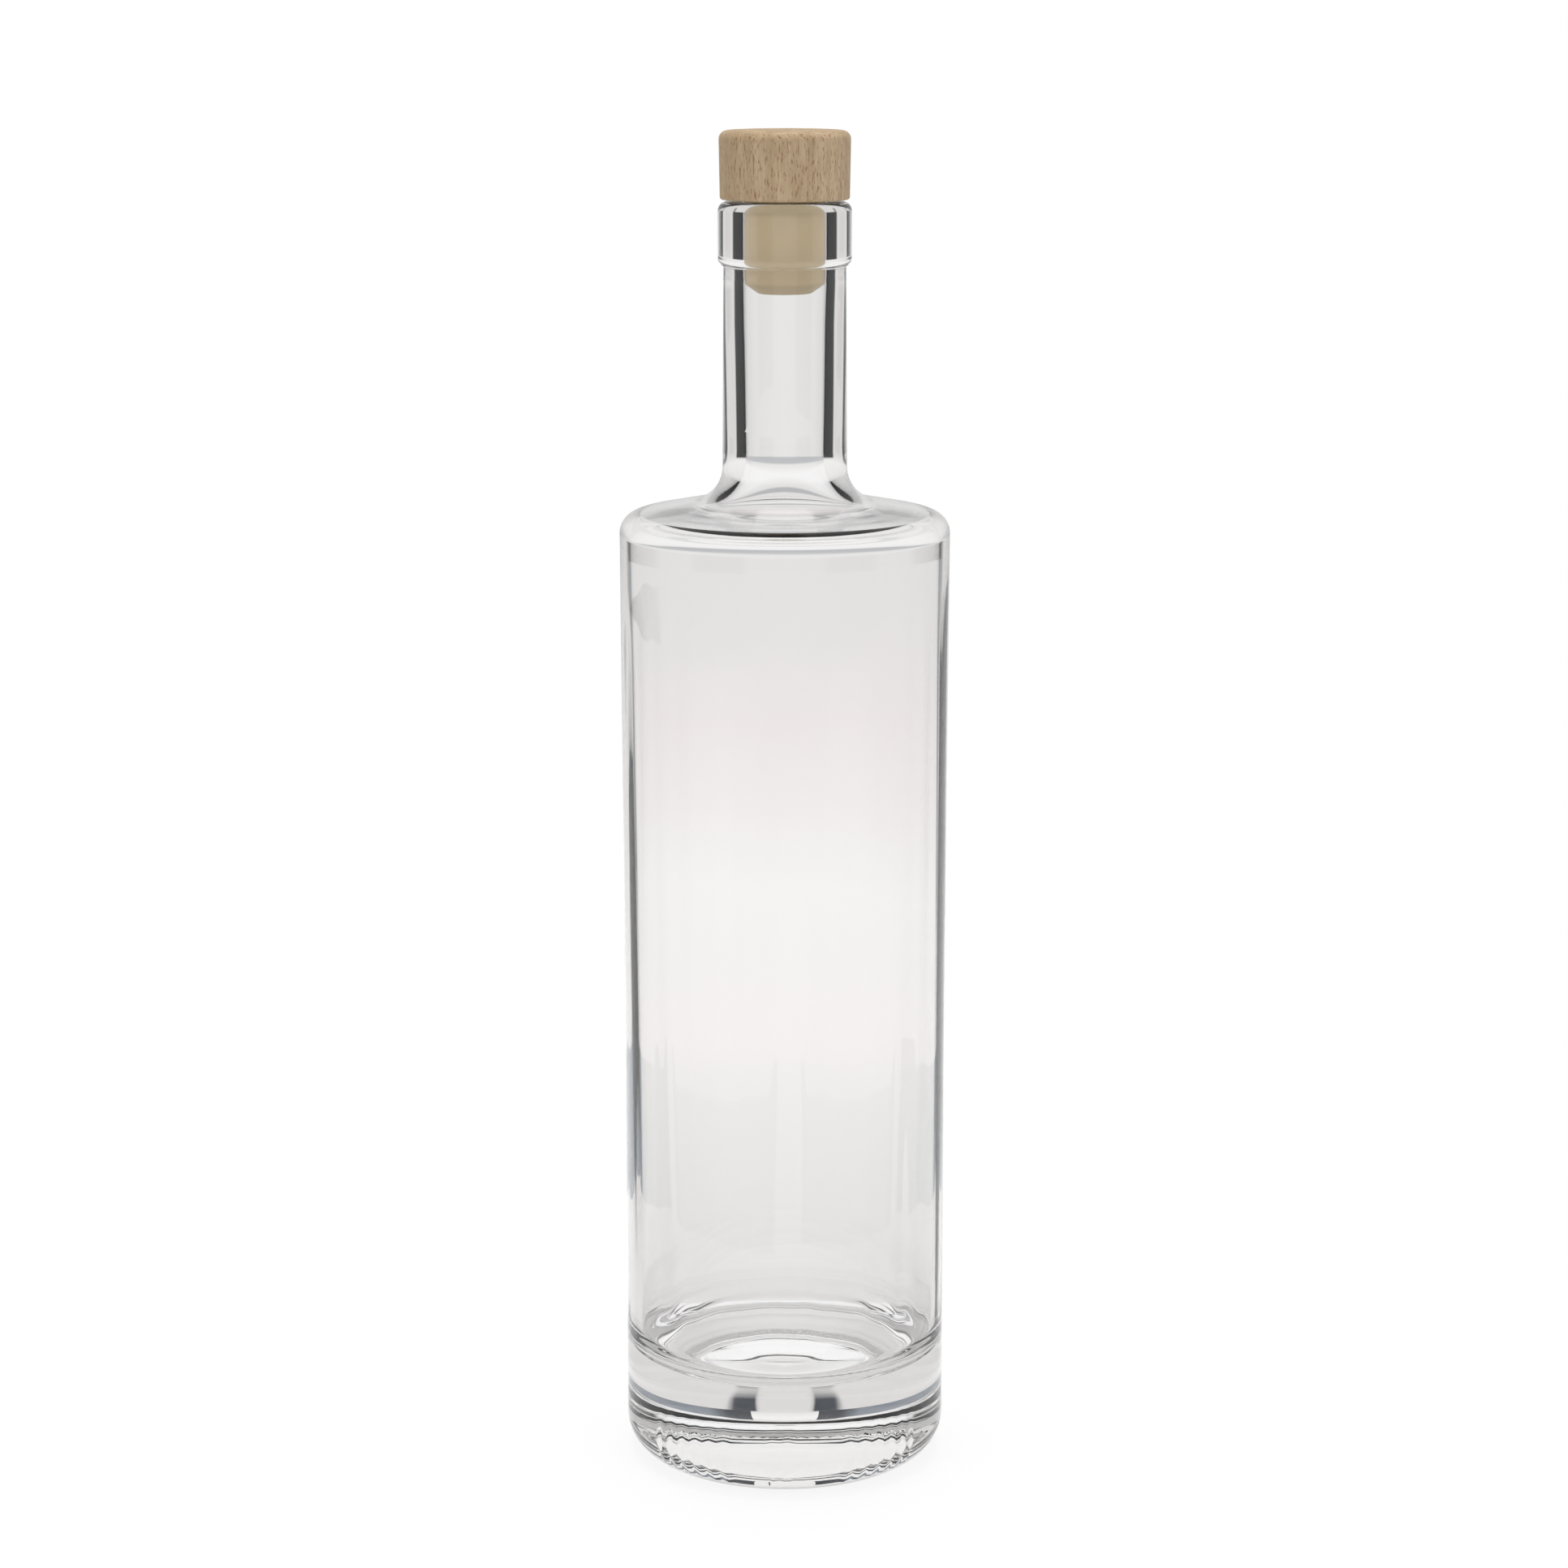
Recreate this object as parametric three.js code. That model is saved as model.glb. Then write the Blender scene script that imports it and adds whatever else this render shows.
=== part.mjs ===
// A clear glass spirits bottle of 700 ml with a bar-top stopper: a straight round body on a thick
// base, a low shoulder, a long neck under a plain collar, and a turned beech head on a moulded plug.
// Millimetres, +Z up. The origin is the centre of the base, on the surface that the bottle stands on.
import * as THREE from "three";

const DEGREE = Math.PI / 180;

// Body of the bottle, outside
const BOTTLE_HEIGHT = 288.9; // resting plane to rim
const HEEL_RADIUS = 36.8; // body radius at the foot
const PANEL_RADIUS = 36.6; // body radius at the waist of the side
const PANEL_HEIGHT = 115;
const SHOULDER_RADIUS = 37; // body radius at the top of the side
const SHOULDER_HEIGHT = 219.3; // where the side and the shoulder's slope would meet
const SHOULDER_SLOPE = 11.4 * DEGREE;
const SHOULDER_ROUND = 4.6;
const HEEL_ROUND = 8.7;

// Underside
const BEARING_INNER_RADIUS = 21.2; // inner edge of the ring that the bottle stands on
const STEP_RADIUS = 20; // top of the slope inside the bearing ring
const STEP_HEIGHT = 0.6;
const STEP_ROUND = 1;
const PUSH_UP_RISE = 1.8; // middle of the dome over the top of that slope

// Neck and collar, outside
const NECK_ROOT_RADIUS = 13.92;
const NECK_TOP_RADIUS = 13.56;
const NECK_ROOT_ROUND = 8;
const COLLAR_RADIUS = 14.78;
const COLLAR_HEIGHT = 13.9;
const COLLAR_TOP_ROUND = 2.1;
const COLLAR_FOOT_ROUND = 1.5;
const COLLAR_ROOT_ROUND = 0.5;

// Inside of the bottle
const BORE_RADIUS = 9.25; // the standard 18.5 mm mouth
const BORE_LENGTH = 16.8; // gauged part of the bore, from the rim down
const MOUTH_ROUND = 1.2;
const WAIST_RADIUS = 8.45; // tightest part of the neck, at its root
const SHOULDER_WALL = 3;
const SHOULDER_ROUND_INSIDE = 6;
const ROOT_ROUND_INSIDE = 14;
const SIDE_WALL_TOP = 2.3;
const SIDE_WALL_FOOT = 3;
const FLOOR_HEIGHT = 24.2; // top of the thick glass base, at its edge
const FLOOR_CROWN = 0.8; // rise of the floor towards its middle
const FLOOR_ROUND = 8;

// Stopper
const HEAD_GAP = 0.4; // head above rim
const HEAD_HEIGHT = 15;
const HEAD_FOOT_RADIUS = 14.4;
const HEAD_RADIUS = 14.6; // widest, under the top edge
const HEAD_TOP_ROUND = 1.9;
const HEAD_FOOT_ROUND = 0.6;
const PLUG_CLEARANCE = 0.3; // plug to bore, on the radius
const PLUG_LENGTH = 20.4; // from the head's underside down
const PLUG_CHAMFER_HEIGHT = 2.4;
const PLUG_CHAMFER_WIDTH = 3.1;
const PLUG_EDGE_ROUND = 1.3;
const STEM_RADIUS = 5.5; // the plug's stem, glued into the head
const STEM_LENGTH = 9;
const STEM_CHAMFER = 0.8;
const STEM_CLEARANCE = 0.3;

// Fineness of the turned surfaces
const BOTTLE_SEGMENTS = 64;
const STOPPER_SEGMENTS = 48;
const ARC_STEP = 15 * DEGREE;
const MOST_ARC_STEPS = 7;

// A profile corner: radius from the axis, height, and the radius that rounds it
const corner = (r, z, round = 0) => ({ point: new THREE.Vector2(r, z), round });

// The points of an arc that rounds the corner at b, between its neighbours a and c
function roundedCorner(a, b, c) {
  const back = a.point.clone().sub(b.point);
  const ahead = c.point.clone().sub(b.point);
  const halfAngle = Math.acos(back.dot(ahead) / (back.length() * ahead.length())) / 2;
  const tangent = b.round / Math.tan(halfAngle);
  const start = b.point.clone().addScaledVector(back.normalize(), tangent);
  const end = b.point.clone().addScaledVector(ahead.normalize(), tangent);
  const inward = back.add(ahead).normalize();
  const centre = b.point.clone().addScaledVector(inward, b.round / Math.sin(halfAngle));
  const from = start.clone().sub(centre);
  const to = end.clone().sub(centre);
  const turn = Math.atan2(from.cross(to), from.dot(to));
  const steps = Math.min(MOST_ARC_STEPS, Math.max(2, Math.ceil(Math.abs(turn) / ARC_STEP)));
  return Array.from({ length: steps + 1 }, (_, i) =>
    from.clone().rotateAround(new THREE.Vector2(), (turn * i) / steps).add(centre),
  );
}

// A profile's outline, from its corners in order. The first and the last lie on the axis.
function outline(corners) {
  return corners.flatMap((c, i) =>
    c.round > 0 ? roundedCorner(corners[i - 1], c, corners[i + 1]) : [c.point],
  );
}

// The points of a shallow dome, from the axis out to just short of the corner at its rim
function dome(middleHeight, rim, steps) {
  return Array.from({ length: steps }, (_, i) => {
    const share = i / steps;
    const rise = (middleHeight - rim.point.y) * (1 - share ** 2);
    return corner(rim.point.x * share, rim.point.y + rise);
  });
}

// A solid turned about +Z
function turned(name, corners, segments, material) {
  const geometry = new THREE.LatheGeometry(outline(corners), segments);
  geometry.rotateX(Math.PI / 2);
  const mesh = new THREE.Mesh(geometry, material);
  mesh.name = name;
  return mesh;
}

const glass = new THREE.MeshStandardMaterial({
  color: 0xf2f6f5,
  roughness: 0.02,
  metalness: 0,
  transparent: true,
  opacity: 0.35,
});
const beech = new THREE.MeshStandardMaterial({ color: 0xc9ab86, roughness: 0.6, metalness: 0 });
const plugPlastic = new THREE.MeshStandardMaterial({
  color: 0xc8b08c,
  roughness: 0.5,
  metalness: 0,
});

// Height of the shoulder's slope over the base, at a radius
const slopeHeight = (r) => SHOULDER_HEIGHT + (SHOULDER_RADIUS - r) * Math.tan(SHOULDER_SLOPE);

// The blown glass body, from the middle of its underside up the outside, over the rim and down inside
function bottle() {
  const collarFoot = BOTTLE_HEIGHT - COLLAR_HEIGHT;
  const boreEnd = BOTTLE_HEIGHT - BORE_LENGTH;
  const shoulderDrop = SHOULDER_WALL / Math.cos(SHOULDER_SLOPE);
  const insideTop = SHOULDER_RADIUS - SIDE_WALL_TOP;
  const insideFoot = HEEL_RADIUS - SIDE_WALL_FOOT;

  const step = corner(STEP_RADIUS, STEP_HEIGHT, STEP_ROUND);
  const underside = [
    ...dome(STEP_HEIGHT + PUSH_UP_RISE, step, 4),
    step,
    corner(BEARING_INNER_RADIUS, 0, STEP_ROUND),
  ];
  const outside = [
    corner(HEEL_RADIUS, 0, HEEL_ROUND),
    corner(PANEL_RADIUS, PANEL_HEIGHT),
    corner(SHOULDER_RADIUS, SHOULDER_HEIGHT, SHOULDER_ROUND),
    corner(NECK_ROOT_RADIUS, slopeHeight(NECK_ROOT_RADIUS), NECK_ROOT_ROUND),
    corner(NECK_TOP_RADIUS, collarFoot, COLLAR_ROOT_ROUND),
    corner(COLLAR_RADIUS, collarFoot, COLLAR_FOOT_ROUND),
    corner(COLLAR_RADIUS, BOTTLE_HEIGHT, COLLAR_TOP_ROUND),
  ];
  const mouth = [
    corner(BORE_RADIUS, BOTTLE_HEIGHT, MOUTH_ROUND),
    corner(BORE_RADIUS, boreEnd),
    corner(WAIST_RADIUS, slopeHeight(WAIST_RADIUS) - shoulderDrop, ROOT_ROUND_INSIDE),
  ];
  const floorRim = corner(insideFoot, FLOOR_HEIGHT, FLOOR_ROUND);
  const floor = dome(FLOOR_HEIGHT + FLOOR_CROWN, floorRim, 4).slice(0, 3).reverse();
  const cavity = [
    corner(insideTop, slopeHeight(insideTop) - shoulderDrop, SHOULDER_ROUND_INSIDE),
    floorRim,
    ...floor,
  ];
  const profile = [...underside, ...outside, ...mouth, ...cavity];
  return turned("bottle", profile, BOTTLE_SEGMENTS, glass);
}

// The turned beech head, with the blind socket that the plug's stem is glued into
function stopperHead() {
  const foot = BOTTLE_HEIGHT + HEAD_GAP;
  const top = foot + HEAD_HEIGHT;
  const socketRadius = STEM_RADIUS + STEM_CLEARANCE;
  const socketTop = foot + STEM_LENGTH + STEM_CLEARANCE;
  const profile = [
    corner(0, socketTop),
    corner(socketRadius, socketTop),
    corner(socketRadius, foot),
    corner(HEAD_FOOT_RADIUS, foot, HEAD_FOOT_ROUND),
    corner(HEAD_RADIUS, top, HEAD_TOP_ROUND),
    corner(0, top),
  ];
  return turned("stopper_head", profile, STOPPER_SEGMENTS, beech);
}

// The moulded plug that seals the bore, with its stem
function stopperPlug() {
  const shoulder = BOTTLE_HEIGHT + HEAD_GAP - STEM_CLEARANCE;
  const tip = BOTTLE_HEIGHT + HEAD_GAP - PLUG_LENGTH;
  const radius = BORE_RADIUS - PLUG_CLEARANCE;
  const stemTop = shoulder + STEM_LENGTH;
  const profile = [
    corner(0, tip),
    corner(radius - PLUG_CHAMFER_WIDTH, tip, PLUG_EDGE_ROUND),
    corner(radius, tip + PLUG_CHAMFER_HEIGHT, PLUG_EDGE_ROUND),
    corner(radius, shoulder),
    corner(STEM_RADIUS, shoulder),
    corner(STEM_RADIUS, stemTop - STEM_CHAMFER),
    corner(STEM_RADIUS - STEM_CHAMFER, stemTop),
    corner(0, stemTop),
  ];
  return turned("stopper_plug", profile, STOPPER_SEGMENTS, plugPlastic);
}

const model = new THREE.Group();
model.add(bottle(), stopperHead(), stopperPlug());

export default model;
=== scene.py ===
"""A clear glass spirits bottle with a beech bar-top stopper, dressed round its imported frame."""
import math

import bmesh
import bpy
from mathutils import Matrix, Vector, noise


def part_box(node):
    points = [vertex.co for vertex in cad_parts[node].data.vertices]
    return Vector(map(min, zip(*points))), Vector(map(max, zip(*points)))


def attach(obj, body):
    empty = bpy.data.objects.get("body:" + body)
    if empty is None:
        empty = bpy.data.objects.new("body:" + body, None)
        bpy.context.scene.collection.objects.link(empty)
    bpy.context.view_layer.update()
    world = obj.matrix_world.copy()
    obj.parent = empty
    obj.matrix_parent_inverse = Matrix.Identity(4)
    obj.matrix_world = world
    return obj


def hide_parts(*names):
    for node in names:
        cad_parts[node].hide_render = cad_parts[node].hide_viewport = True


bl_info = {
    "name": "Glass bottle with a bar-top stopper",
    "version": (1, 0, 0),
    "blender": (4, 5, 0),
    "location": "3D Viewport > Sidebar > Bottle",
    "description": "Makes a blown glass bottle, its beech and polymer stopper, and the stage they stand on",
    "category": "Object",
}

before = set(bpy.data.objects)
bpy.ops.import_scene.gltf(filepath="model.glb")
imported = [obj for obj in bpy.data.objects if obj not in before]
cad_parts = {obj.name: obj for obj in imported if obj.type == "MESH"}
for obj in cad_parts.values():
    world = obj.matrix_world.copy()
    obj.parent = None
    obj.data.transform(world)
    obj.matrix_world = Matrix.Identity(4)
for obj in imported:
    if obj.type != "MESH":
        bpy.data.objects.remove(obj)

_, BOTTLE_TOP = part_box("bottle")
HEAD_LOW, HEAD_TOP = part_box("stopper_head")
PLUG_LOW, PLUG_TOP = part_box("stopper_plug")

MM = 0.001
GLASS_IOR = 1.52  # of soda-lime flint glass
SENSOR_WIDTH = 36  # the camera's, in millimetres

# Fineness of the turned surfaces
GLASS_SEGMENTS = 256
GLASS_ARC_STEP = math.radians(5)
GLASS_STRETCH = 5 * MM  # longest stretch of the glass's profile without a point
STOPPER_SEGMENTS = 128
STOPPER_ARC_STEP = math.radians(8)
STOPPER_STRETCH = 4 * MM
FEWEST_ARC_STEPS = 3
MERGE_DISTANCE = 1e-6  # in metres

# Small forms of the glass
STEP_WIDTH = 1.2 * MM  # slope between the bearing ring and the push-up
STEP_HEIGHT = 0.6 * MM
STEP_ROUND = 1 * MM
DOME_SHARE = 0.75  # of the push-up's rise, half way out
SOFT_ROUND = 60 * MM  # softens the push-up, the inside floor and the end of the gauged bore
SIDE_BOW = 9  # radius of the side's bow at its waist, in metres
COLLAR_ROOT_ROUND = 0.5 * MM
COLLAR_FOOT_ROUND = 1.5 * MM
MOUTH_ROUND = 1.2 * MM
CROWN_RISE = 0.8 * MM  # of the inside floor's middle
CROWN_SIDE_SHARE = 0.4  # of the floor's radius, where it has risen by
CROWN_SIDE_RISE = 0.7 * MM
# The parting bead under the collar: each point is out from the neck and down from the collar's foot
BEAD = ((0.02 * MM, 3.3 * MM), (0.05 * MM, 3 * MM), (0.01 * MM, 2.7 * MM))

# Ticks of the bearing ring, measured from its inner edge, and of the heel
RING_TICK_EDGES = (0.8 * MM, 1.0 * MM, 2.6 * MM, 2.8 * MM)
RING_TICK_MIDDLE = 1.8 * MM
RING_TICK_REACH = 0.85 * MM
RING_TICK_DEPTH = 0.3 * MM
FLAT = 0.05 * MM  # what is lower than this lies in the bearing ring
HEEL_TICK_LOW = 2 * MM
HEEL_TICK_HIGH = 8.8 * MM
HEEL_TICK_INNER = 30 * MM  # nearer the axis the heel has no ticks
HEEL_TICK_OUTER = 0.1 * MM  # and none further out than this beyond the heel's radius
HEEL_TICK_RELIEF = 0.4 * MM
HEEL_TICK_SUNK = 0.02 * MM  # how far the ticks stay inside the body's widest radius
HEEL_TICK_RUNS = ((0, 5), (20, 52))  # degrees from the front, to both sides

# Where the inside of the glass wanders from round
NECK_REACH = 11 * MM  # the neck's inside lies within this radius, and the hollow's outside it
SIDE_REACH = 35.2 * MM  # the hollow's side lies within this one
AXIS_CLEAR = 1 * MM
SLOPE_CLEAR = 1.5 * MM  # under the shoulder's outside
FLOOR_CLEAR = 2 * MM  # below the floor's edge
# It fades in and out over these stretches
FLOOR_FADE = 30 * MM  # up from the floor
RIM_FADE = (26 * MM, 19 * MM)  # down from the rim
NECK_FADE = (20 * MM, 72 * MM)  # up from the shoulder
SHOULDER_FADE = (30 * MM, 12 * MM)  # down from the shoulder
LEAN_FADE = (90 * MM, 180 * MM)  # heights over which the inside comes to stand to the left
LEAN_SHARE = 0.7  # of the wander
# Its waves: how strong they are, how fast they change round the glass and up it, and where they start
NECK_WAVES = ((0.7, 1.2, 26, 0),)
BODY_WAVES = ((1, 2.4, 11, 0), (0.5, 7, 5, 9))

# Stopper
GLUE_GAP = 0.3 * MM  # between the plug, with its stem, and the head
HEAD_TAPER = 0.25 * MM
HEAD_FOOT_ROUND = 0.6 * MM
HEAD_TOP_ROUND = 1.9 * MM
PLUG_CHAMFER_WIDTH = 3.1 * MM
PLUG_CHAMFER_HEIGHT = 2.4 * MM
PLUG_EDGE_ROUND = 1.3 * MM
STEM_END_ROUND = 0.8 * MM

# Stage
ROOM_LIGHT = 0.62  # how strongly the white room lights the set
BASE_FOCUS = 52.7 * MM  # behind the axis, where the thick base brings the rays from the floor together
DEEPEST_SOLID = 3.5  # rays with fewer passes through glass faces have crossed solid glass only
FLOOR_SEGMENTS = 96
KERB_STEPS = 24  # stretches of each quarter of the card wall
KERB_LIFT = 0.2 * MM
SOFTBOX_SIZE = 0.6
# Each softbox's place, in metres, and its watts
SOFTBOXES = {
    "softbox_left": ((-0.7, -0.7, 0.5), 2.5),
    "softbox_right": ((0.7, -0.7, 0.5), 2.5),
    "softbox_top": ((0, 0.1, 1.1), 7.5),
}


def length(name, default, description):
    """A length property, in metres."""
    return bpy.props.FloatProperty(
        name=name, description=description, default=default, min=0, precision=5, unit="LENGTH"
    )


def colour(name, default, description):
    """A colour property, written as an sRGB hex value."""
    return bpy.props.FloatVectorProperty(
        name=name, description=description, default=linear(default), min=0, max=1, size=4, subtype="COLOR"
    )


def linear(hex_colour):
    """The linear RGBA of an sRGB hex colour."""
    channels = [int(hex_colour[i : i + 2], 16) / 255 for i in (1, 3, 5)]
    return (*[c / 12.92 if c <= 0.04045 else ((c + 0.055) / 1.055) ** 2.4 for c in channels], 1)


class BottleSizes(bpy.types.PropertyGroup):
    """Sizes of the blown glass body"""

    height: length("Height", BOTTLE_TOP.z, "Resting plane to rim")
    heel_radius: length("Heel radius", 36.8 * MM, "Body radius at the foot")
    waist_radius: length("Waist radius", 36.6 * MM, "Body radius at the waist of the side")
    waist_height: length("Waist height", 115 * MM, "Height of the side's waist")
    shoulder_radius: length("Shoulder radius", BOTTLE_TOP.x, "Body radius at the top of the side")
    shoulder_height: length("Shoulder height", 219.3 * MM, "Where the side and the shoulder's slope meet")
    shoulder_slope: bpy.props.FloatProperty(
        name="Shoulder slope",
        description="Fall of the shoulder from the neck to the side",
        default=math.radians(11.4),
        subtype="ANGLE",
    )
    shoulder_round: length("Shoulder round", 4.6 * MM, "Round between the side and the shoulder")
    heel_round: length("Heel round", 8.7 * MM, "Round between the underside and the side")
    neck_root_radius: length("Neck root radius", 13.92 * MM, "Neck where it leaves the shoulder")
    neck_top_radius: length("Neck top radius", 13.56 * MM, "Neck under the collar")
    neck_root_round: length("Neck root round", 8 * MM, "Flare of the neck into the shoulder")
    collar_radius: length("Collar radius", 14.78 * MM, "Outside of the collar")
    collar_height: length("Collar height", 13.9 * MM, "Collar's foot to rim")
    collar_round: length("Collar round", 2.1 * MM, "Round of the collar's top edge")
    bore_radius: length("Bore radius", 9.25 * MM, "Gauged mouth")
    bore_length: length("Bore length", 16.8 * MM, "Gauged part of the bore, from the rim down")
    bore_waist: length("Bore waist", 8.45 * MM, "Tightest part of the neck, at its root")
    root_wall: length("Root wall", 2.84 * MM, "Wall of the shoulder at the neck")
    root_round_inside: length("Root round inside", 14 * MM, "Flare of the neck's inside into the hollow")
    shoulder_wall: length("Shoulder wall", 2.2 * MM, "Wall of the shoulder at its edge")
    shoulder_round_inside: length("Shoulder round inside", 3.4 * MM, "Round of the shoulder's edge inside")
    floor_round: length("Floor round", 8 * MM, "Round between the side and the floor inside")
    push_up: length("Push-up", 1.8 * MM, "Rise of the underside's dome")
    floor_height: length("Floor height", 24.2 * MM, "Top of the thick base at its edge")
    bearing_radius: length("Bearing radius", 21.2 * MM, "Inner edge of the ring that the bottle stands on")
    foot_wall: length("Foot wall", 3 * MM, "Wall at the bottom of the side")
    top_wall: length("Top wall", 2.3 * MM, "Wall at the top of the side")
    wander: length("Wander", 0.3 * MM, "How far the inside wanders from round")


class StopperSizes(bpy.types.PropertyGroup):
    """Sizes of the stopper"""

    head_radius: length("Head radius", HEAD_TOP.x, "Widest part of the wooden head")
    head_foot: length("Head foot", HEAD_LOW.z, "Height of the head's underside")
    head_top: length("Head top", HEAD_TOP.z, "Height of the head's top face")
    plug_radius: length("Plug radius", PLUG_TOP.x, "Outside of the plug")
    plug_tip: length("Plug tip", PLUG_LOW.z, "Height of the plug's lower end")
    stem_radius: length("Stem radius", 5.5 * MM, "Plug's stem in the head")
    stem_top: length("Stem top", PLUG_TOP.z, "Height of the stem's end")


class Finishes(bpy.types.PropertyGroup):
    """Colours of the pieces and of the stage"""

    glass: colour("Glass", "#FEFEFE", "Tint of the flint glass")
    beech: colour("Beech", "#968163", "Body colour of the wood")
    beech_fleck: colour("Beech fleck", "#7C5838", "Vessels and rays in the wood")
    beech_light: colour("Pale beech", "#AC967A", "Palest streaks of the wood")
    plug: colour("Plug", "#EFD6A6", "Moulded polymer")
    plug_streak: colour("Plug streak", "#F4E0BA", "Paler mottle of the polymer")
    floor: colour("Floor", "#F8F8F8", "Floor and backdrop")
    # Painted reflection: the low card wall's colour, which only solid glass shows
    painted_reflection_kerb: colour("Kerb", "#7C838C", "Low card wall, which solid glass shows")
    # Painted reflection: the dark flags are world colour that only solid glass shows
    flag: colour("Flag", "#0B0D11", "Dark cards round the set, which solid glass shows")


class StageSizes(bpy.types.PropertyGroup):
    """Camera and stage"""

    camera_back: length("Camera back", 845 * MM, "Distance from the bottle's axis")
    camera_height: length("Camera height", 334 * MM, "Height of the camera")
    camera_side: length("Camera side", 0.18 * MM, "How far the camera stands to the left")
    camera_tilt: bpy.props.FloatProperty(
        name="Camera tilt",
        description="How far the camera looks down",
        default=math.radians(11.773),
        subtype="ANGLE",
    )
    lens: bpy.props.FloatProperty(
        name="Lens", description="Focal length on a 36 mm sensor", default=87.27, unit="CAMERA"
    )
    floor_radius: length("Floor radius", 1.5, "Radius of the floor")
    # The low card wall is hidden but to solid glass, where it paints dark reflections
    kerb_radius: length("Kerb radius", 0.2, "Radius of the low card wall that solid glass shows")
    kerb_height: length("Kerb height", 42 * MM, "Height of that wall")
    post_height: length("Post height", 52 * MM, "Height of that wall where it ends")
    kerb_window: bpy.props.FloatProperty(
        name="Kerb window",
        description="Half of each opening in that wall, in degrees",
        default=6,
        min=0,
        max=45,
    )


def corner(r, z, rounding=0.0):
    """A corner of a turned profile: radius, height and the radius that rounds it."""
    return Vector((r, z)), rounding


def rounded(before, at, after, step):
    """The points of the arc that rounds a profile's corner."""
    (a, _), (b, rounding), (c, _) = before, at, after
    back, ahead = (a - b).normalized(), (c - b).normalized()
    half = back.angle(ahead) / 2
    start = b + back * (rounding / math.tan(half))
    centre = b + (back + ahead).normalized() * (rounding / math.sin(half))
    arm = start - centre
    turn = math.pi - 2 * half
    if back.cross(ahead) > 0:
        turn = -turn
    count = max(FEWEST_ARC_STEPS, math.ceil(abs(turn) / step))
    return [centre + Matrix.Rotation(turn * i / count, 2) @ arm for i in range(count + 1)]


def outline(corners, step):
    """A profile's points, from its corners in order."""
    points = []
    for i, (point, rounding) in enumerate(corners):
        points += rounded(corners[i - 1], corners[i], corners[i + 1], step) if rounding else [point]
    return points


def subdivided(points, longest):
    """The same outline with no stretch longer than a length."""
    out = [points[0]]
    for a, b in zip(points, points[1:]):
        parts = max(1, math.ceil((b - a).length / longest))
        out += [a.lerp(b, i / parts) for i in range(1, parts + 1)]
    return out


def turned(points, segments):
    """A bmesh turned about Z from a profile that starts and ends on the axis."""
    bm = bmesh.new()
    verts = [bm.verts.new((p.x, 0, p.y)) for p in points]
    edges = [bm.edges.new(pair) for pair in zip(verts, verts[1:])]
    bmesh.ops.spin(
        bm,
        geom=verts + edges,
        cent=(0, 0, 0),
        axis=(0, 0, 1),
        angle=math.tau,
        steps=segments,
        use_merge=True,
        use_duplicate=False,
    )
    bmesh.ops.remove_doubles(bm, verts=bm.verts, dist=MERGE_DISTANCE)
    bmesh.ops.recalc_face_normals(bm, faces=bm.faces)
    return bm


def finished(name, bm, material):
    """A smooth piece in the scene from a bmesh."""
    mesh = bpy.data.meshes.new(name)
    for face in bm.faces:
        face.smooth = True
    bm.to_mesh(mesh)
    bm.free()
    mesh.materials.append(material)
    piece = bpy.data.objects.new(name, mesh)
    bpy.context.scene.collection.objects.link(piece)
    return piece


def slope_height(sizes, r):
    """Height of the shoulder's slope at a radius."""
    return sizes.shoulder_height + (sizes.shoulder_radius - r) * math.tan(sizes.shoulder_slope)


def glass_profile(sizes):
    """The bottle's outline, from the middle of the underside up the outside and down inside."""
    collar_foot = sizes.height - sizes.collar_height
    bore_end = sizes.height - sizes.bore_length
    waist, root = sizes.bore_waist, sizes.neck_root_radius
    root_drop = sizes.root_wall / math.cos(sizes.shoulder_slope)
    edge_drop = sizes.shoulder_wall / math.cos(sizes.shoulder_slope)
    inside_top = sizes.shoulder_radius - sizes.top_wall
    inside_foot = sizes.heel_radius - sizes.foot_wall
    step_radius = sizes.bearing_radius - STEP_WIDTH
    underside = [
        corner(0, STEP_HEIGHT + sizes.push_up),
        corner(step_radius / 2, STEP_HEIGHT + sizes.push_up * DOME_SHARE, SOFT_ROUND),
        corner(step_radius, STEP_HEIGHT, STEP_ROUND),
        corner(sizes.bearing_radius, 0, STEP_ROUND),
        *[corner(sizes.bearing_radius + out, 0) for out in RING_TICK_EDGES],
    ]
    outside = [
        corner(sizes.heel_radius, 0, sizes.heel_round),
        corner(sizes.waist_radius, sizes.waist_height, SIDE_BOW),
        corner(sizes.shoulder_radius, sizes.shoulder_height, sizes.shoulder_round),
        corner(root, slope_height(sizes, root), sizes.neck_root_round),
        *[corner(sizes.neck_top_radius + out, collar_foot - down) for out, down in BEAD],
        corner(sizes.neck_top_radius, collar_foot, COLLAR_ROOT_ROUND),
        corner(sizes.collar_radius, collar_foot, COLLAR_FOOT_ROUND),
        corner(sizes.collar_radius, sizes.height, sizes.collar_round),
    ]
    inside = [
        corner(sizes.bore_radius, sizes.height, MOUTH_ROUND),
        corner(sizes.bore_radius, bore_end, SOFT_ROUND),
        corner(waist, slope_height(sizes, waist) - root_drop, sizes.root_round_inside),
        corner(inside_top, slope_height(sizes, inside_top) - edge_drop, sizes.shoulder_round_inside),
        corner(inside_foot, sizes.floor_height, sizes.floor_round),
        corner(inside_foot * CROWN_SIDE_SHARE, sizes.floor_height + CROWN_SIDE_RISE, SOFT_ROUND),
        corner(0, sizes.floor_height + CROWN_RISE),
    ]
    return underside + outside + inside


def eased(value, low, high):
    """0 below low, 1 above high and a smooth rise between."""
    share = min(1, max(0, (value - low) / (high - low)))
    return share * share * (3 - 2 * share)


def waves(place, kinds):
    """The sum of slow noises that change round the glass and up it."""
    x, y, z = place
    r = math.hypot(x, y)
    return sum(
        strength * noise.noise(Vector((around * x / r, around * y / r, z * up + start)))
        for strength, around, up, start in kinds
    )


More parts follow.
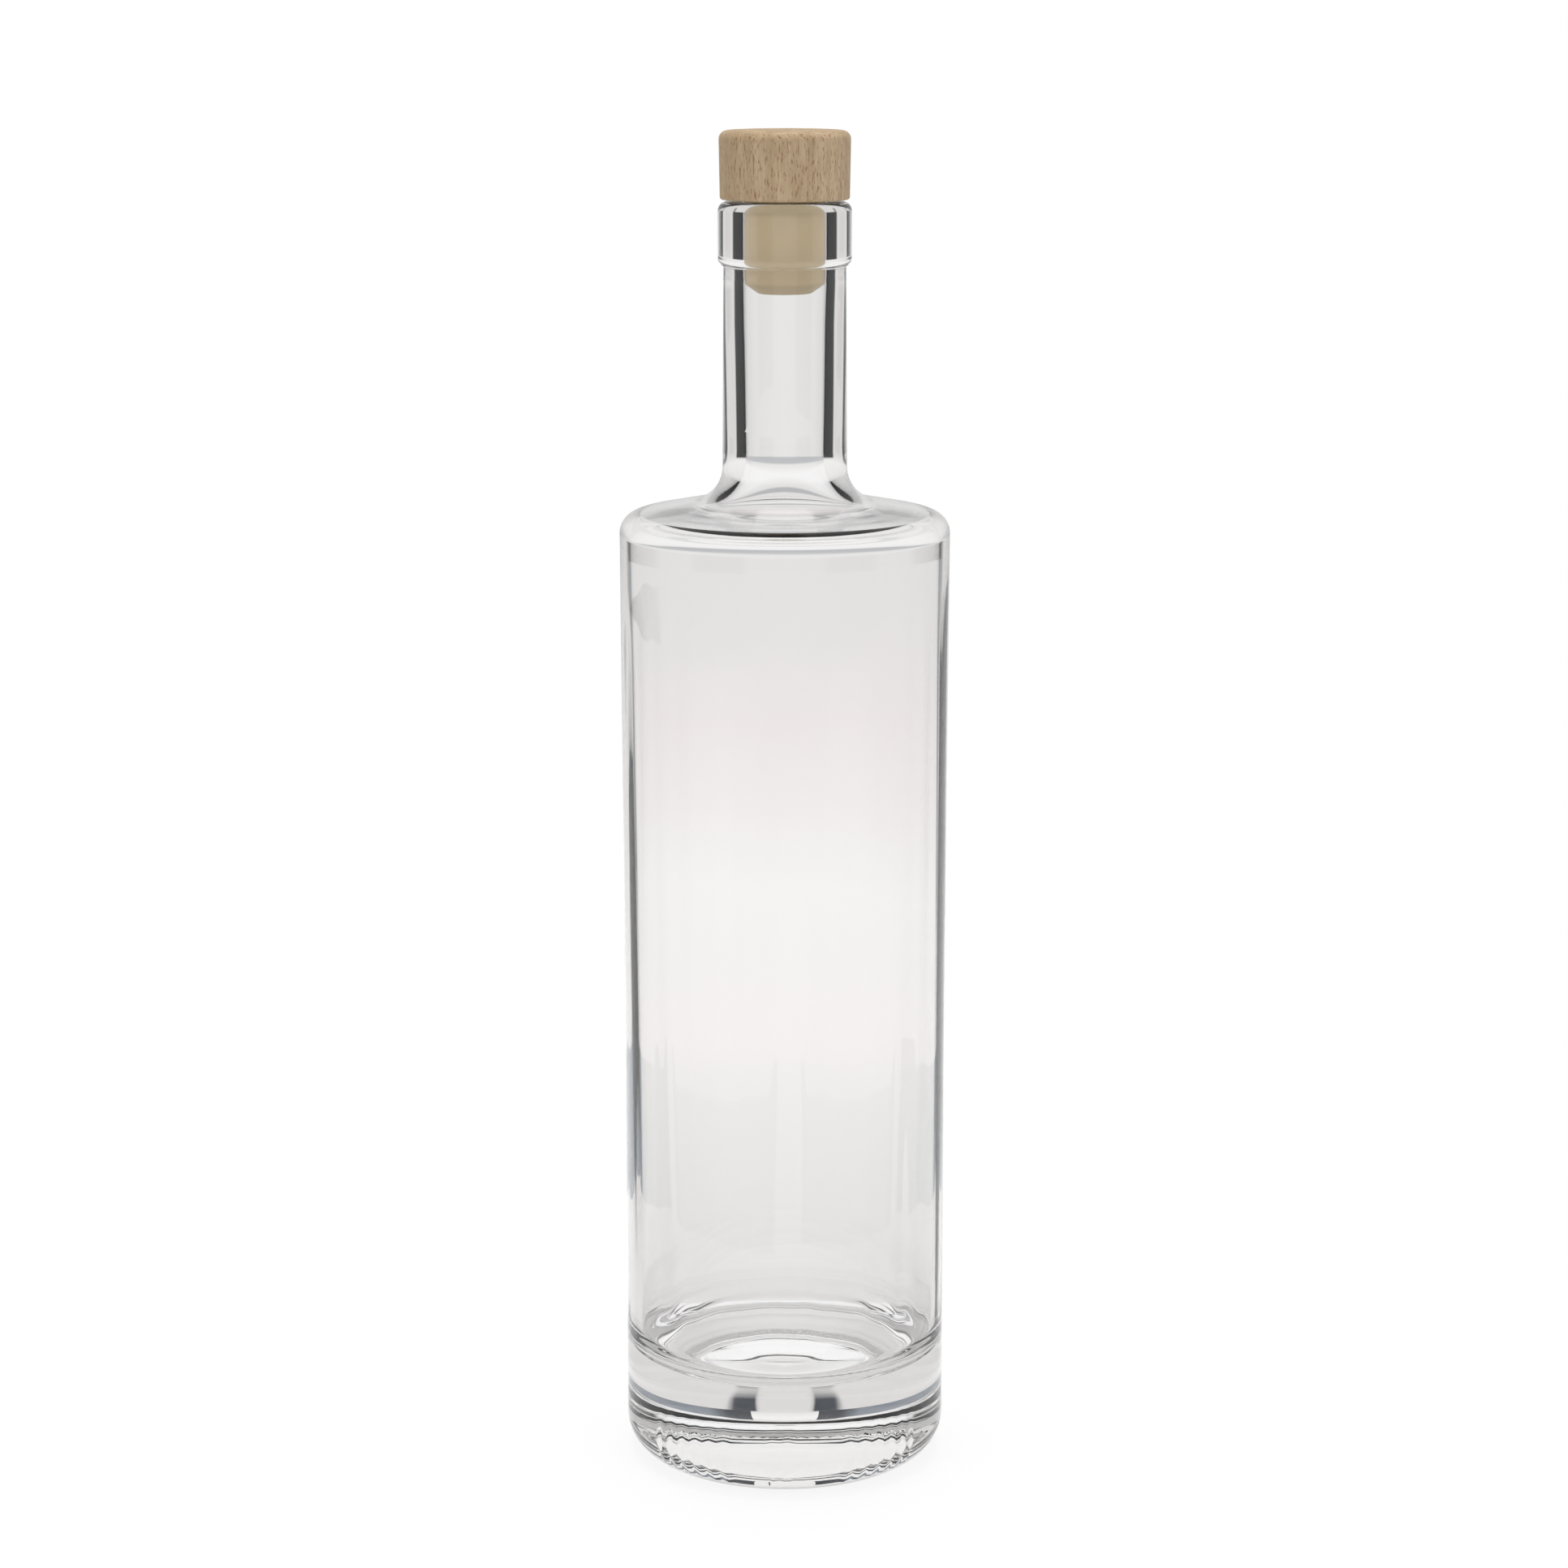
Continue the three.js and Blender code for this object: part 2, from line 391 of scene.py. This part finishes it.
def wander(sizes, vert):
    """Moves a vertex of the inside as blown glass wanders from round, most in the body's top half."""
    x, y, z = vert.co
    r = math.hypot(x, y)
    if r < AXIS_CLEAR:
        return
    in_neck = r < NECK_REACH
    inside = in_neck or z < slope_height(sizes, r) - SLOPE_CLEAR
    if not (inside and r < SIDE_REACH and z > sizes.floor_height - FLOOR_CLEAR):
        return
    floor, shoulder, rim = sizes.floor_height, sizes.shoulder_height, sizes.height
    amount = eased(z, floor, floor + FLOOR_FADE)
    amount *= 1 - eased(z, *[rim - down for down in RIM_FADE])
    if in_neck:
        amount *= eased(z, *[shoulder + up for up in NECK_FADE])
        shift = waves(vert.co, NECK_WAVES)
    else:
        amount *= 1 - eased(z, *[shoulder - down for down in SHOULDER_FADE])
        shift = waves(vert.co, BODY_WAVES)
    vert.co.x += x / r * sizes.wander * shift * amount
    vert.co.y += y / r * sizes.wander * shift * amount
    vert.co.x -= LEAN_SHARE * sizes.wander * eased(z, *LEAN_FADE) * amount


def knurl(sizes, vert):
    """Cuts the ticks of the bearing ring, and raises the plain ticks of the heel."""
    x, y, z = vert.co
    r = math.hypot(x, y)
    turn = math.atan2(x, -y)
    step = round(turn / math.tau * GLASS_SEGMENTS)
    in_ring = abs(r - sizes.bearing_radius - RING_TICK_MIDDLE) < RING_TICK_REACH
    if z < FLAT and in_ring and step % 2:
        vert.co.z += RING_TICK_DEPTH
    in_heel = HEEL_TICK_LOW < z < HEEL_TICK_HIGH
    in_heel = in_heel and HEEL_TICK_INNER < r < sizes.heel_radius + HEEL_TICK_OUTER
    marked = any(first <= abs(math.degrees(turn)) < last for first, last in HEEL_TICK_RUNS)
    if in_heel and marked and step % 4 < 2:
        raised = min(HEEL_TICK_RELIEF, sizes.shoulder_radius - r - HEEL_TICK_SUNK)
        vert.co.x += x / r * raised
        vert.co.y += y / r * raised


def node(tree, kind, inputs=None, stops=(), **settings):
    """Adds a node: an input is a value or another node's output, a ramp's stop a place and a colour."""
    made = tree.nodes.new(kind)
    for name, value in settings.items():
        setattr(made, name, value)
    for name, value in (inputs or {}).items():
        if isinstance(value, bpy.types.NodeSocket):
            tree.links.new(value, made.inputs[name])
        else:
            made.inputs[name].default_value = value
    if stops:
        first, last = made.color_ramp.elements
        first.position, first.color = stops[0]
        last.position, last.color = stops[-1]
    for place, tone in stops[1:-1]:
        made.color_ramp.elements.new(place).color = tone
    return made


def shares(stops, whole=1):
    """A ramp's stops from places out of a whole, each with how much shows there, from 0 to 1."""
    return [(place / whole, (share, share, share, 1)) for place, share in stops]


def tints(stops, whole=1):
    """A ramp's stops from places out of a whole, each with an sRGB hex colour."""
    return [(place / whole, linear(tone)) for place, tone in stops]


def new_material(name):
    """An empty node material and its tree."""
    material = bpy.data.materials.new(name)
    material.use_nodes = True
    material.node_tree.nodes.clear()
    return material, material.node_tree


def stretched_noise(tree, place, width, stretch, detail):
    """A noise whose grains have a width, light and dark together, and are drawn out along Z."""
    mapping = node(tree, "ShaderNodeMapping", {"Vector": place, "Scale": (1, 1, 1 / stretch)})
    grains = {"Vector": mapping.outputs[0], "Scale": 1 / width, "Detail": detail}
    return node(tree, "ShaderNodeTexNoise", grains).outputs["Fac"]


def flint_glass(tint):
    """Blown flint glass, fire-polished: clear and sharp, with the slow ripples of its mould."""
    material, tree = new_material("flint_glass_fire_polished")
    place = node(tree, "ShaderNodeTexCoord").outputs["Object"]
    # Ripples about 17 mm wide, four times as long and a few hundredths of a millimetre high
    ripples = stretched_noise(tree, place, 16.667 * MM, 4, 1.5)
    bump = node(tree, "ShaderNodeBump", {"Strength": 0.25, "Distance": 0.05 * MM, "Height": ripples})
    # No roughness, so that the eye sees sharp reflections and a clear view through both walls
    clear = {"Base Color": tint, "Roughness": 0.0, "IOR": GLASS_IOR, "Transmission Weight": 1}
    shader = node(tree, "ShaderNodeBsdfPrincipled", {**clear, "Normal": bump.outputs[0]})
    node(tree, "ShaderNodeOutputMaterial", {"Surface": shader.outputs[0]})
    return material


def turned_beech(colours):
    """Beech, turned and sanded: pale streaks up the grain, crossed by short dark vessel flecks."""
    material, tree = new_material("beech_turned_sanded")
    place = node(tree, "ShaderNodeTexCoord").outputs["Object"]
    # The grain sways by up to a millimetre in every centimetre
    bent = node(tree, "ShaderNodeTexNoise", {"Vector": place, "Scale": 1 / (11.111 * MM), "Detail": 1})
    sway = {0: bent.outputs["Color"], 1: (1.2 * MM, 1.2 * MM, 0)}
    warp = node(tree, "ShaderNodeVectorMath", sway, operation="MULTIPLY").outputs[0]
    grain = node(tree, "ShaderNodeVectorMath", {0: place, 1: warp}, operation="ADD").outputs[0]

    # Fibres: streaks a third of a millimetre wide that run up the head, between the two body colours
    fibres = stretched_noise(tree, grain, 0.5882 * MM, 14, 3)
    # Slow bands of growth, a few millimetres wide, which make the fibres paler or darker
    growth = stretched_noise(tree, grain, 3.846 * MM, 30, 1)
    banded = {0: fibres, 1: growth, 2: 0.12}
    blend = node(tree, "ShaderNodeMath", banded, operation="MULTIPLY_ADD").outputs[0]
    spread = node(tree, "ShaderNodeMapRange", {"Value": blend, "From Min": 0.28, "From Max": 0.5}).outputs[0]
    streaks = {"Factor": spread, "A": colours.beech, "B": colours.beech_light}
    ground = node(tree, "ShaderNodeMix", streaks, data_type="RGBA").outputs["Result"]

    # Vessel and ray flecks: narrow spindles one to two millimetres long, dark reddish brown
    small = {"Value": stretched_noise(tree, grain, 0.303 * MM, 4.5, 0.5), "From Min": 0.62, "From Max": 0.7}
    small_flecks = node(tree, "ShaderNodeMapRange", small).outputs[0]
    large = {"Value": stretched_noise(tree, grain, 0.5 * MM, 5, 0.5), "From Min": 0.66, "From Max": 0.74}
    large_flecks = node(tree, "ShaderNodeMapRange", large).outputs[0]
    flecks = node(tree, "ShaderNodeMath", {0: small_flecks, 1: large_flecks}, operation="MAXIMUM").outputs[0]
    strength = node(tree, "ShaderNodeMath", {0: flecks, 1: 0.75}, operation="MULTIPLY").outputs[0]
    flecked = {"Factor": strength, "A": ground, "B": colours.beech_fleck}
    wood = node(tree, "ShaderNodeMix", flecked, data_type="RGBA").outputs["Result"]

    # Open vessels catch the light: the flecks lie a few hundredths of a millimetre deep
    relief = {"Strength": 0.5, "Distance": 0.06 * MM, "Height": flecks}
    bump = node(tree, "ShaderNodeBump", relief, invert=True)
    sanded = {"Base Color": wood, "Roughness": 0.62, "Normal": bump.outputs[0]}
    shader = node(tree, "ShaderNodeBsdfPrincipled", sanded)
    node(tree, "ShaderNodeOutputMaterial", {"Surface": shader.outputs[0]})
    return material


def moulded_polymer(tint, streak):
    """Cork-coloured foamed polymer, moulded: waxy satin, with a faint mottle and fine pores."""
    material, tree = new_material("polymer_moulded_cork_beige")
    place = node(tree, "ShaderNodeTexCoord").outputs["Object"]
    # A mottle of paler cells, 5 to 6 mm wide
    mottle = stretched_noise(tree, place, 5.556 * MM, 3, 3)
    mottled = {"Factor": mottle, "A": tint, "B": streak}
    body = node(tree, "ShaderNodeMix", mottled, data_type="RGBA").outputs["Result"]
    # Pores a fifth of a millimetre wide, which break the satin shine
    pores = stretched_noise(tree, place, 0.38462 * MM, 1, 2)
    bump = node(tree, "ShaderNodeBump", {"Strength": 0.25, "Distance": 0.03 * MM, "Height": pores})
    satin = {"Base Color": body, "Roughness": 0.45, "Normal": bump.outputs[0]}
    shader = node(tree, "ShaderNodeBsdfPrincipled", satin)
    node(tree, "ShaderNodeOutputMaterial", {"Surface": shader.outputs[0]})
    return material


class BOTTLE_OT_glass(bpy.types.Operator):
    """Make the blown glass body"""

    bl_idname = "bottle.glass"
    bl_label = "Glass body"

    def execute(self, context):
        sizes = context.scene.bottle_sizes
        points = outline(glass_profile(sizes), GLASS_ARC_STEP)
        bm = turned(subdivided(points, GLASS_STRETCH), GLASS_SEGMENTS)
        for vert in bm.verts:
            wander(sizes, vert)
            knurl(sizes, vert)
        piece = finished("bottle_glass", bm, flint_glass(context.scene.bottle_finishes.glass))
        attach(piece, "bottle")
        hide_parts("bottle")
        return {"FINISHED"}


class BOTTLE_OT_stopper(bpy.types.Operator):
    """Make the stopper: a turned beech head on a moulded plug"""

    bl_idname = "bottle.stopper"
    bl_label = "Stopper"

    def execute(self, context):
        sizes = context.scene.stopper_sizes
        colours = context.scene.bottle_finishes
        socket_radius = sizes.stem_radius + GLUE_GAP
        socket_top = sizes.stem_top + GLUE_GAP
        head = [
            corner(0, socket_top),
            corner(socket_radius, socket_top),
            corner(socket_radius, sizes.head_foot),
            corner(sizes.head_radius - HEAD_TAPER, sizes.head_foot, HEAD_FOOT_ROUND),
            corner(sizes.head_radius, sizes.head_top, HEAD_TOP_ROUND),
            corner(0, sizes.head_top),
        ]
        points = subdivided(outline(head, STOPPER_ARC_STEP), STOPPER_STRETCH)
        piece = finished("stopper_head_beech", turned(points, STOPPER_SEGMENTS), turned_beech(colours))
        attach(piece, "stopper")
        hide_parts("stopper_head")
        ledge = sizes.head_foot - GLUE_GAP
        plug = [
            corner(0, sizes.plug_tip),
            corner(sizes.plug_radius - PLUG_CHAMFER_WIDTH, sizes.plug_tip, PLUG_EDGE_ROUND),
            corner(sizes.plug_radius, sizes.plug_tip + PLUG_CHAMFER_HEIGHT, PLUG_EDGE_ROUND),
            corner(sizes.plug_radius, ledge),
            corner(sizes.stem_radius, ledge),
            corner(sizes.stem_radius, sizes.stem_top, STEM_END_ROUND),
            corner(0, sizes.stem_top),
        ]
        points = subdivided(outline(plug, STOPPER_ARC_STEP), STOPPER_STRETCH)
        polymer = moulded_polymer(colours.plug, colours.plug_streak)
        piece = finished("stopper_plug_moulded", turned(points, STOPPER_SEGMENTS), polymer)
        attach(piece, "stopper")
        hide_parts("stopper_plug")
        return {"FINISHED"}


def bearing(tree, vector):
    """How far a direction turns from +Y to either side, from 0 at +Y to 1 at -Y."""
    parts = node(tree, "ShaderNodeSeparateXYZ", {"Vector": vector}).outputs
    side = node(tree, "ShaderNodeMath", {0: parts["X"]}, operation="ABSOLUTE").outputs[0]
    turn = node(tree, "ShaderNodeMath", {0: side, 1: parts["Y"]}, operation="ARCTAN2").outputs[0]
    return node(tree, "ShaderNodeMath", {0: turn, 1: 1 / math.pi}, operation="MULTIPLY").outputs[0]


def solid_glass_path(tree, path):
    """1 for rays that crossed solid glass without crossing the hollow."""
    passes = {0: path.outputs["Transmission Depth"], 1: DEEPEST_SOLID}
    return node(tree, "ShaderNodeMath", passes, operation="LESS_THAN").outputs[0]


def sky(colours):
    """White all round for the eye; glass shows painted shade and painted reflections, with dark zones at the
    sides that only solid glass shows.
    """
    world = bpy.data.worlds.new("studio")
    bpy.context.scene.world = world
    world.use_nodes = True
    tree = world.node_tree
    tree.nodes.clear()
    path = node(tree, "ShaderNodeLightPath")
    direction = node(tree, "ShaderNodeTexCoord").outputs["Generated"]
    turn = bearing(tree, direction)
    rise = node(tree, "ShaderNodeSeparateXYZ", {"Vector": direction}).outputs["Z"]
    level = node(tree, "ShaderNodeMapRange", {"Value": rise, "From Min": -1, "From Max": 1}).outputs[0]

    # Painted reflections, which only solid glass shows: pale cards, darker below, with the dark flags before
    # them, for the dark bands in the glass: their bearings and their heights
    sides = [(0, 0), (28, 0), (34, 1), (72, 1), (80, 0), (108, 0), (115, 1), (148, 1), (154, 0), (180, 0)]
    heights = [(-12, 0), (-10, 1), (-1, 1), (2, 0)]
    levels = [((math.sin(math.radians(degrees)) + 1) / 2, share) for degrees, share in heights]
    across = node(tree, "ShaderNodeValToRGB", {"Fac": turn}, shares(sides, 180)).outputs["Color"]
    upward = node(tree, "ShaderNodeValToRGB", {"Fac": level}, shares(levels)).outputs["Color"]
    painted_reflection_flags = node(tree, "ShaderNodeMath", {0: across, 1: upward}, operation="MULTIPLY").outputs[0]
    painted_card_shade_tones = [(0, "#DCDAD8"), (0.47, "#DCDAD8"), (0.56, "#F2F1F0"), (1, "#E6E5E4")]
    pale = node(tree, "ShaderNodeValToRGB", {"Fac": level}, tints(painted_card_shade_tones)).outputs["Color"]
    with_painted_flags = {"Factor": painted_reflection_flags, "A": pale, "B": colours.flag}
    painted_reflection_colour = node(tree, "ShaderNodeMix", with_painted_flags, data_type="RGBA").outputs["Result"]
    painted_reflection_cards = node(tree, "ShaderNodeBackground", {"Color": painted_reflection_colour, "Strength": 1})

    # Rays through both walls show painted shade and light: a greyer horizon, paler above and greyer towards
    # the sides
    painted_side_shade_tones = [(0, "#EBEAE9"), (0.1, "#E6E5E4"), (0.22, "#D6D5D4"), (1, "#E6E5E4")]
    painted_side_shade = node(tree, "ShaderNodeValToRGB", {"Fac": turn}, tints(painted_side_shade_tones)).outputs["Color"]
    above_levels = [(0.53, 0), (0.57, 1)]
    above = node(tree, "ShaderNodeValToRGB", {"Fac": level}, shares(above_levels)).outputs["Color"]
    horizon_levels = [(0.475, 0), (0.485, 1), (0.512, 1), (0.522, 0)]
    painted_horizon_shade = node(tree, "ShaderNodeValToRGB", {"Fac": level}, shares(horizon_levels)).outputs["Color"]
    lifted = {"Factor": above, "A": painted_side_shade, "B": linear("#FAF9F9")}
    wall = node(tree, "ShaderNodeMix", lifted, data_type="RGBA").outputs["Result"]
    banded = {"Factor": painted_horizon_shade, "A": wall, "B": linear("#B9BABC")}
    backdrop = node(tree, "ShaderNodeMix", banded, data_type="RGBA").outputs["Result"]
    through = node(tree, "ShaderNodeBackground", {"Color": backdrop, "Strength": 1})

    seen = node(tree, "ShaderNodeBackground", {"Color": (1, 1, 1, 1), "Strength": 1})
    light = node(tree, "ShaderNodeBackground", {"Color": (1, 1, 1, 1), "Strength": ROOM_LIGHT})
    is_solid, is_seen = solid_glass_path(tree, path), path.outputs["Is Camera Ray"]
    glass = node(tree, "ShaderNodeMixShader", {0: is_solid, 1: through.outputs[0], 2: painted_reflection_cards.outputs[0]})
    plain = node(tree, "ShaderNodeMixShader", {0: is_seen, 1: light.outputs[0], 2: seen.outputs[0]})
    is_through = path.outputs["Is Transmission Ray"]
    whole = node(tree, "ShaderNodeMixShader", {0: is_through, 1: plain.outputs[0], 2: glass.outputs[0]})
    node(tree, "ShaderNodeOutputWorld", {"Surface": whole.outputs[0]})


def floor_material(sizes, colours):
    """A pale matt table top: white to the eye but for a soft shadow, with painted shade and painted
    reflections where glass shows it.
    """
    material, tree = new_material("table_white_with_painted_shade")
    path = node(tree, "ShaderNodeLightPath")
    edge = sizes.floor_radius
    place = node(tree, "ShaderNodeTexCoord").outputs["Object"]
    away = node(tree, "ShaderNodeVectorMath", {0: place}, operation="LENGTH").outputs["Value"]
    reach = node(tree, "ShaderNodeMapRange", {"Value": away, "From Min": 0, "From Max": edge}).outputs[0]
    turn = bearing(tree, place)
    from_focus = {0: place, 1: (0, BASE_FOCUS, 0)}
    fanned = bearing(tree, node(tree, "ShaderNodeVectorMath", from_focus, operation="SUBTRACT").outputs[0])

    def patch(round_from, sides, depths):
        """1 in a patch of the floor that lies between two bearings and two distances."""
        across = node(tree, "ShaderNodeValToRGB", {"Fac": round_from}, shares(sides, 180)).outputs["Color"]
        along = node(tree, "ShaderNodeValToRGB", {"Fac": reach}, shares(depths, edge)).outputs["Color"]
        return node(tree, "ShaderNodeMath", {0: across, 1: along}, operation="MULTIPLY").outputs[0]

    # Rays through both walls see painted shade and light: tones by distance from the axis in metres, greyer
    # towards the sides
    tones = [(0, "#E4E3E1"), (0.01, "#E9E8E7"), (0.014, "#FFFFFF"), (0.0215, "#FFFFFF")]
    tones += [(0.0235, "#C9C8C7"), (0.032, "#DAD8D7"), (0.1, "#E6E4E2"), (0.17, "#EAE9E7")]
    tones += [(0.25, "#EFEEEC"), (0.34, "#F8F4F3"), (0.56, "#F8F7F6")]
    tones += [(0.7, "#F4EFEF"), (0.9, "#EEE9E8"), (1.12, "#E9E7E6"), (1.5, "#E7E6E4")]
    pale = node(tree, "ShaderNodeValToRGB", {"Fac": reach}, tints(tones, edge)).outputs["Color"]
    painted_side_shade_levels = [(0, 1), (0.1, 0.96), (0.22, 0.84), (1, 0.9)]
    painted_side_shade = node(tree, "ShaderNodeValToRGB", {"Fac": turn}, shares(painted_side_shade_levels)).outputs["Color"]
    shaded = {"Factor": 1.0, "A": pale, "B": painted_side_shade}
    backdrop = node(tree, "ShaderNodeMix", shaded, data_type="RGBA", blend_type="MULTIPLY")

    # Solid glass sees painted shade and painted reflections: grey, with a dark patch to each side behind the
    # base and a paler one far out
    painted_under_shade_tones = [(0, "#CFCECD"), (0.045, "#D4D2D0"), (0.06, "#DAD8D6"), (1.5, "#DAD8D6")]
    under = node(tree, "ShaderNodeValToRGB", {"Fac": reach}, tints(painted_under_shade_tones, edge)).outputs["Color"]
    near_sides = [(0, 0), (6.2, 0), (6.8, 1), (12.5, 1), (15, 0), (180, 0)]
    near_depths = [(0, 0), (0.06, 0), (0.064, 1), (0.2, 1), (0.21, 0), (1.5, 0)]
    far_sides = [(0, 0), (30, 0), (33, 1), (39, 1), (43, 0), (180, 0)]
    far_depths = [(0, 0), (0.5, 0), (0.6, 1), (1.5, 1)]
    near = {"Factor": patch(fanned, near_sides, near_depths), "A": under, "B": linear("#262D38")}
    with_painted_dark_patch = node(tree, "ShaderNodeMix", near, data_type="RGBA").outputs["Result"]
    far = {"Factor": patch(turn, far_sides, far_depths), "A": with_painted_dark_patch, "B": linear("#86888C")}
    solid = node(tree, "ShaderNodeMix", far, data_type="RGBA").outputs["Result"]
    by_path = {"Factor": solid_glass_path(tree, path), "A": backdrop.outputs["Result"], "B": solid}
    shown = node(tree, "ShaderNodeMix", by_path, data_type="RGBA").outputs["Result"]
    through = node(tree, "ShaderNodeEmission", {"Color": shown, "Strength": 1})

    # The eye sees white, a little darker under the bottle: a ramp by distance lets the matt floor's soft
    # shadow show there, partly real shadow and partly painted shade
    matt = node(tree, "ShaderNodeBsdfDiffuse", {"Color": colours.floor})
    glow = node(tree, "ShaderNodeEmission", {"Color": (1, 1, 1, 1), "Strength": 1})
    shadow_levels = [(0, 0.85), (0.05, 0.88), (0.2, 1), (1, 1)]
    shadow = node(tree, "ShaderNodeValToRGB", {"Fac": reach}, shares(shadow_levels)).outputs["Color"]
    to_the_eye = {0: shadow, 1: path.outputs["Is Camera Ray"]}
    seen = node(tree, "ShaderNodeMath", to_the_eye, operation="MULTIPLY").outputs[0]
    plain = node(tree, "ShaderNodeMixShader", {0: seen, 1: matt.outputs[0], 2: glow.outputs[0]})
    is_through = path.outputs["Is Transmission Ray"]
    whole = node(tree, "ShaderNodeMixShader", {0: is_through, 1: plain.outputs[0], 2: through.outputs[0]})
    node(tree, "ShaderNodeOutputMaterial", {"Surface": whole.outputs[0]})
    return material


def painted_reflection_kerb_material(colours):
    """Painted reflections: a blue-grey card wall that only solid glass shows, nearly black where it ends by
    the openings.
    """
    material, tree = new_material("painted_reflection_kerb_card")
    path = node(tree, "ShaderNodeLightPath")
    turn = bearing(tree, node(tree, "ShaderNodeTexCoord").outputs["Object"])
    ends = [(0, 1), (10.5, 1), (15, 0), (75, 0), (79, 1), (101, 1), (105, 0), (165, 0), (169.5, 1), (180, 1)]
    painted_dark_ends = node(tree, "ShaderNodeValToRGB", {"Fac": turn}, shares(ends, 180)).outputs["Color"]
    tones = {"Factor": painted_dark_ends, "A": colours.painted_reflection_kerb, "B": linear("#1A2029")}
    tone = node(tree, "ShaderNodeMix", tones, data_type="RGBA").outputs["Result"]
    card = node(tree, "ShaderNodeEmission", {"Color": tone, "Strength": 1})
    clear = node(tree, "ShaderNodeBsdfTransparent")
    both = {0: solid_glass_path(tree, path), 1: path.outputs["Is Transmission Ray"]}
    shown = node(tree, "ShaderNodeMath", both, operation="MULTIPLY").outputs[0]
    whole = node(tree, "ShaderNodeMixShader", {0: shown, 1: clear.outputs[0], 2: card.outputs[0]})
    node(tree, "ShaderNodeOutputMaterial", {"Surface": whole.outputs[0]})
    return material


def painted_reflection_kerb(sizes, colours):
    """A low card wall round the bottle, open at the front, the back and the sides, with higher ends, that
    paints dark reflections in solid glass.
    """
    bm = bmesh.new()
    for quarter in range(4):
        first = quarter * 90 + sizes.kerb_window
        last = (quarter + 1) * 90 - sizes.kerb_window
        angles = [math.radians(first + (last - first) * i / KERB_STEPS) for i in range(KERB_STEPS + 1)]
        foot = [
            bm.verts.new((sizes.kerb_radius * math.sin(a), sizes.kerb_radius * math.cos(a), KERB_LIFT))
            for a in angles
        ]
        edges = [bm.edges.new(pair) for pair in zip(foot, foot[1:])]
        raised = bmesh.ops.extrude_edge_only(bm, edges=edges)["geom"]
        tops = [item for item in raised if isinstance(item, bmesh.types.BMVert)]
        bmesh.ops.translate(bm, verts=tops, vec=(0, 0, sizes.kerb_height))
        posts = tops[:2] + tops[-2:]
        bmesh.ops.translate(bm, verts=posts, vec=(0, 0, sizes.post_height - sizes.kerb_height))
    card = finished("painted_reflection_kerb", bm, painted_reflection_kerb_material(colours))
    # Seen by transmission rays only, so that it is a painted reflection in the glass
    card.visible_camera = card.visible_diffuse = card.visible_glossy = card.visible_shadow = False


def lamp(name, place, target, power):
    """A square softbox that faces a point."""
    light = bpy.data.lights.new(name, "AREA")
    light.size = SOFTBOX_SIZE
    light.energy = power
    softbox = bpy.data.objects.new(name, light)
    softbox.location = place
    softbox.rotation_euler = (Vector(target) - Vector(place)).to_track_quat("-Z", "Y").to_euler()
    softbox.visible_camera = False
    softbox.visible_glossy = False
    softbox.visible_transmission = False
    bpy.context.scene.collection.objects.link(softbox)


class BOTTLE_OT_stage(bpy.types.Operator):
    """Make the floor, the low card wall of painted reflections, the lights and the camera"""

    bl_idname = "bottle.stage"
    bl_label = "Stage"

    def execute(self, context):
        scene = context.scene
        sizes = scene.stage_sizes
        colours = scene.bottle_finishes
        bm = bmesh.new()
        bmesh.ops.create_circle(bm, cap_ends=True, radius=sizes.floor_radius, segments=FLOOR_SEGMENTS)
        floor = finished("floor", bm, floor_material(sizes, colours))
        painted_reflection_kerb(sizes, colours)
        sky(colours)
        middle = (0, 0, sizes.camera_height / 2)
        for name, (place, power) in SOFTBOXES.items():
            lamp(name, place, middle, power)
        view = bpy.data.cameras.new("camera")
        view.lens = sizes.lens
        view.sensor_width = SENSOR_WIDTH
        camera = bpy.data.objects.new("camera", view)
        camera.location = (-sizes.camera_side, -sizes.camera_back, sizes.camera_height)
        camera.rotation_euler = (math.pi / 2 - sizes.camera_tilt, 0, 0)
        scene.collection.objects.link(camera)
        scene.camera = camera
        scene.view_settings.view_transform = "Standard"
        return {"FINISHED"}


class BOTTLE_PT_panel(bpy.types.Panel):
    """Lists the bottle's operators"""

    bl_idname = "BOTTLE_PT_panel"
    bl_label = "Glass bottle"
    bl_space_type = "VIEW_3D"
    bl_region_type = "UI"
    bl_category = "Bottle"

    def draw(self, context):
        for operator in (BOTTLE_OT_glass, BOTTLE_OT_stopper, BOTTLE_OT_stage):
            self.layout.operator(operator.bl_idname)


SETTINGS = {
    "bottle_sizes": BottleSizes,
    "stopper_sizes": StopperSizes,
    "bottle_finishes": Finishes,
    "stage_sizes": StageSizes,
}
OTHER_CLASSES = (BOTTLE_OT_glass, BOTTLE_OT_stopper, BOTTLE_OT_stage, BOTTLE_PT_panel)


def register():
    """Registers the settings, the operators and the panel."""
    for name, group in SETTINGS.items():
        bpy.utils.register_class(group)
        setattr(bpy.types.Scene, name, bpy.props.PointerProperty(type=group))
    for item in OTHER_CLASSES:
        bpy.utils.register_class(item)


def unregister():
    """Takes them out again."""
    for item in reversed(OTHER_CLASSES):
        bpy.utils.unregister_class(item)
    for name, group in reversed(SETTINGS.items()):
        delattr(bpy.types.Scene, name)
        bpy.utils.unregister_class(group)


def main():
    """Makes the stage and the pieces."""
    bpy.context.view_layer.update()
    register()
    bpy.ops.bottle.stage()
    bpy.ops.bottle.glass()
    bpy.ops.bottle.stopper()


if __name__ == "__main__":
    main()
